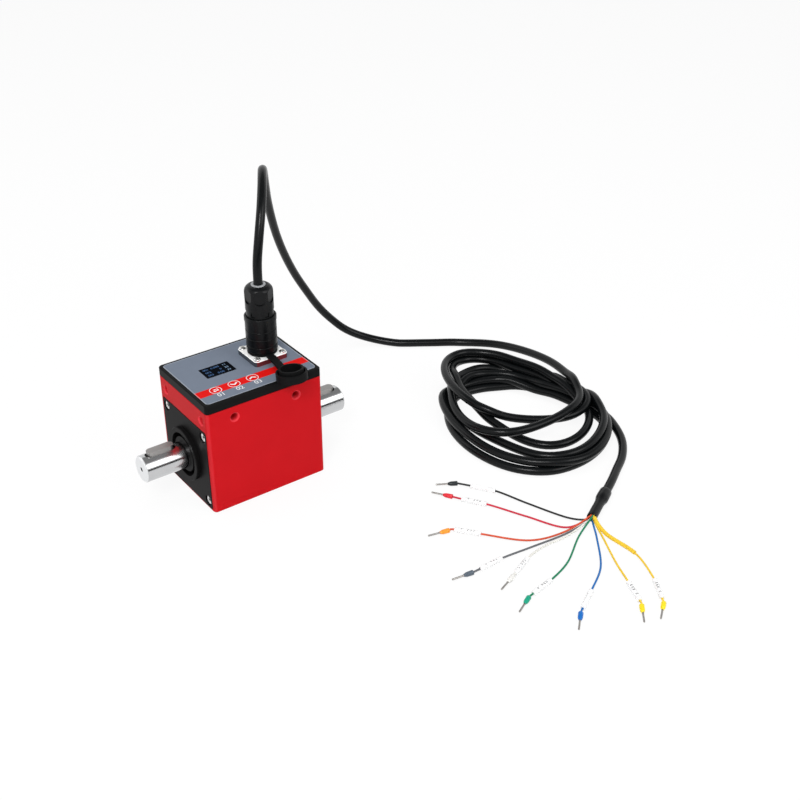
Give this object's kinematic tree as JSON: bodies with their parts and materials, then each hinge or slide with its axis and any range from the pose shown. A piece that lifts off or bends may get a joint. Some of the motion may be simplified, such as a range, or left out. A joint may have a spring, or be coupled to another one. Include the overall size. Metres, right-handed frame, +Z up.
{
  "type": "rotary torque sensor",
  "caption": "Rotary torque sensor in a red block housing with keyed shaft ends, a display label on top, a mated plug with dust cap, and a loosely coiled cable ending in marked wires",
  "frame": {"origin": "centre of the flat base, under the middle of the shaft", "axes": "+X along the shaft towards the end nearer the connector, +Y to the back, +Z up"},
  "size_m": [0.325, 0.3843, 0.1919],
  "materials": {
    "red_paint": "satin paint",
    "black_metal": "black anodised, satin",
    "bright_steel": "ground and polished",
    "screw_steel": "bright",
    "key_steel": "drawn, dull",
    "dark_steel": "black oxide",
    "bearing_steel": "ground",
    "ferrite": "dull",
    "gauge_film": "film with foil",
    "disc_metal": "etched",
    "board_green": "lacquered",
    "dark_plastic": "moulded",
    "display_black": "gloss",
    "label_film": "printed film, fine texture",
    "nickel": "bright nickel",
    "contact_gold": "plated",
    "black_rubber": "moulded, matt",
    "black_plastic": "moulded, satin",
    "grey_rubber": "moulded",
    "cable_black": "extruded, satin",
    "shrink_black": "heat shrunk",
    "wire_black": "extruded",
    "wire_red": "extruded",
    "wire_orange": "extruded",
    "wire_grey": "extruded",
    "wire_white": "extruded",
    "wire_green": "extruded",
    "wire_blue": "extruded",
    "wire_yellow": "extruded",
    "marker_white": "printed tube",
    "ferrule_plastic": "moulded",
    "tinned_copper": "tinned, crimped"
  },
  "bodies": {
    "stator": {"housing": "red_paint", "end_cover_left": "black_metal", "end_cover_right": "black_metal", "end_cover_screws": "screw_steel", "bearing_outer_left": "bearing_steel", "bearing_outer_right": "bearing_steel", "stator_coil": "ferrite", "speed_pickup": "dark_plastic", "main_board": "board_green", "board_screws": "screw_steel", "display_module": "dark_plastic", "display_window": "display_black", "key_switches": "dark_plastic", "top_cover": "black_metal", "cover_screws": "screw_steel", "label_film": "label_film", "receptacle_shell": "nickel", "receptacle_insert": "dark_plastic", "receptacle_pins": "contact_gold", "receptacle_screws": "screw_steel", "plug_body": "black_plastic", "plug_insert": "dark_plastic", "gland_nut": "black_plastic", "gland_seal": "grey_rubber", "cable_lead": "cable_black", "cable_coil": "cable_black", "cable_tail": "cable_black", "heat_shrink": "shrink_black", "wire_black": "wire_black", "wire_red": "wire_red", "wire_orange": "wire_orange", "wire_grey": "wire_grey", "wire_white": "wire_white", "wire_green": "wire_green", "wire_blue": "wire_blue", "wire_yellow": "wire_yellow", "wire_shield": "wire_yellow", "shield_sleeve": "wire_yellow", "wire_markers": "marker_white", "ferrule_collars": "ferrule_plastic", "ferrule_pins": "tinned_copper"},
    "rotor": {"shaft": "bright_steel", "key_left": "key_steel", "key_right": "key_steel", "shaft_collar_left": "dark_steel", "shaft_collar_right": "dark_steel", "bearing_inner_left": "bearing_steel", "bearing_inner_right": "bearing_steel", "bearing_balls_left": "bearing_steel", "bearing_balls_right": "bearing_steel", "rotor_coil": "ferrite", "strain_gauges": "gauge_film", "speed_disc": "disc_metal"},
    "sleeve": {"coupling_sleeve": "black_plastic"},
    "cap": {"dust_cap": "black_rubber"},
    "key_1": {"key_plunger_1": "dark_plastic"},
    "key_2": {"key_plunger_2": "dark_plastic"},
    "key_3": {"key_plunger_3": "dark_plastic"}
  },
  "joints": [
    {"name": "shaft_turn", "type": "hinge", "parent": "stator", "child": "rotor", "pos_m": [0, 0, 0.03], "axis": [1, 0, 0], "continuous": true},
    {"name": "sleeve_pull", "type": "slide", "parent": "stator", "child": "sleeve", "axis": [0, 0, 1], "range_m": [0, 0.003], "stiffness_N_per_m": 600, "springref_m": -0.002},
    {"name": "cap_swivel", "type": "hinge", "parent": "stator", "child": "cap", "pos_m": [0.02, 0.004, 0.0846], "axis": [0, 0, 1], "range_deg": [-18, 25]},
    {"name": "key_1_press", "type": "slide", "parent": "stator", "child": "key_1", "axis": [0, 0, -1], "range_m": [0, 0.00025], "stiffness_N_per_m": 6000},
    {"name": "key_2_press", "type": "slide", "parent": "stator", "child": "key_2", "axis": [0, 0, -1], "range_m": [0, 0.00025], "stiffness_N_per_m": 6000},
    {"name": "key_3_press", "type": "slide", "parent": "stator", "child": "key_3", "axis": [0, 0, -1], "range_m": [0, 0.00025], "stiffness_N_per_m": 6000}
  ]
}
